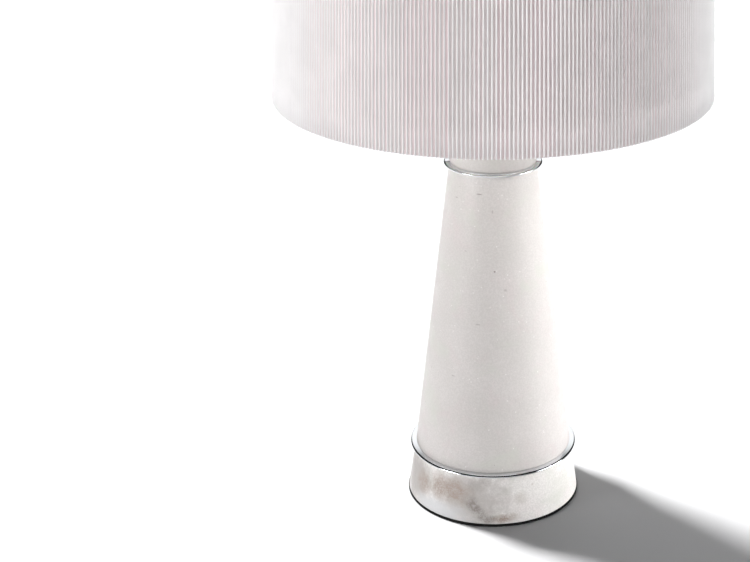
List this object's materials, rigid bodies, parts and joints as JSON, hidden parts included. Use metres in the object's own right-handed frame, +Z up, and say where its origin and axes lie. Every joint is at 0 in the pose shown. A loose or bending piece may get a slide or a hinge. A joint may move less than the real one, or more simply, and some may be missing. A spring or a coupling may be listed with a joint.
{
  "type": "column table lamp",
  "caption": "Table lamp: a tapering white marble column with two polished metal discs, carrying a large pleated drum shade on a harp.",
  "frame": {"origin": "centre of the underside of the foot pad", "axes": "+Z up along the column, front towards -Y, cord inlet at the back (+Y)"},
  "size_m": [0.4, 0.4, 0.7006],
  "materials": {
    "marble": "honed white marble with faint grey veins",
    "chrome": "polished",
    "steel": "zinc plated",
    "black_steel": "black powder coat",
    "rubber": "black matt",
    "fibre": "vulcanised fibre",
    "brass": "machined",
    "white_plastic": "moulded",
    "black_plastic": "moulded",
    "card": "rolled card",
    "brown_insulation": "extruded",
    "blue_insulation": "extruded",
    "bulb_metal": "rolled",
    "opal_glass": "opal",
    "styrene": "white satin sheet",
    "pleated_fabric": "pleated satin, pale blush white"
  },
  "bodies": {
    "stand": {"foot_pad": "rubber", "cover_plate": "black_steel", "cover_screws": "steel", "base_inserts": "brass", "terminal_block": "white_plastic", "terminal_block_screw": "steel", "cord_grommet": "rubber", "base_block": "marble", "lower_ring": "chrome", "column_cone": "marble", "upper_ring": "chrome", "neck_block": "marble", "top_cap": "chrome", "threaded_tube": "steel", "fibre_washer": "fibre", "lower_washer": "steel", "lower_nut": "steel", "upper_nut": "brass", "harp_saddle": "chrome", "harp": "chrome", "harp_stud": "chrome", "socket_cap": "chrome", "socket_set_screw": "steel", "socket_shell": "chrome", "shell_liner": "card", "socket_body": "white_plastic", "screw_shell": "brass", "centre_contact": "brass", "terminal_screws": "brass", "line_wire": "brown_insulation", "neutral_wire": "blue_insulation"},
    "switch": {"switch_knob": "black_plastic"},
    "bulb": {"bulb_cap": "bulb_metal", "bulb_insulator": "black_plastic", "bulb_contact": "bulb_metal", "bulb_globe": "opal_glass"},
    "shade": {"shade_carrier": "chrome", "shade_bottom_ring": "chrome", "shade_liner": "styrene", "pleated_cover": "pleated_fabric"},
    "finial": {"finial": "chrome"},
    "left_ferrule": {"left_ferrule": "chrome"},
    "right_ferrule": {"right_ferrule": "chrome"}
  },
  "joints": [
    {"name": "switch_turn", "type": "hinge", "parent": "stand", "child": "switch", "pos_m": [0, -0.02, 0.426], "axis": [0, -1, 0], "continuous": true},
    {"name": "bulb_turn", "type": "hinge", "parent": "stand", "child": "bulb", "pos_m": [0, 0, 0.45], "axis": [0, 0, 1], "continuous": true},
    {"name": "shade_turn", "type": "hinge", "parent": "stand", "child": "shade", "pos_m": [0, 0, 0.6718], "axis": [0, 0, 1], "continuous": true},
    {"name": "finial_turn", "type": "hinge", "parent": "stand", "child": "finial", "pos_m": [0, 0, 0.6736], "axis": [0, 0, 1], "continuous": true},
    {"name": "left_ferrule_slide", "type": "slide", "parent": "stand", "child": "left_ferrule", "axis": [0, 0, 1], "range_m": [0, 0.014]},
    {"name": "right_ferrule_slide", "type": "slide", "parent": "stand", "child": "right_ferrule", "axis": [0, 0, 1], "range_m": [0, 0.014]}
  ]
}
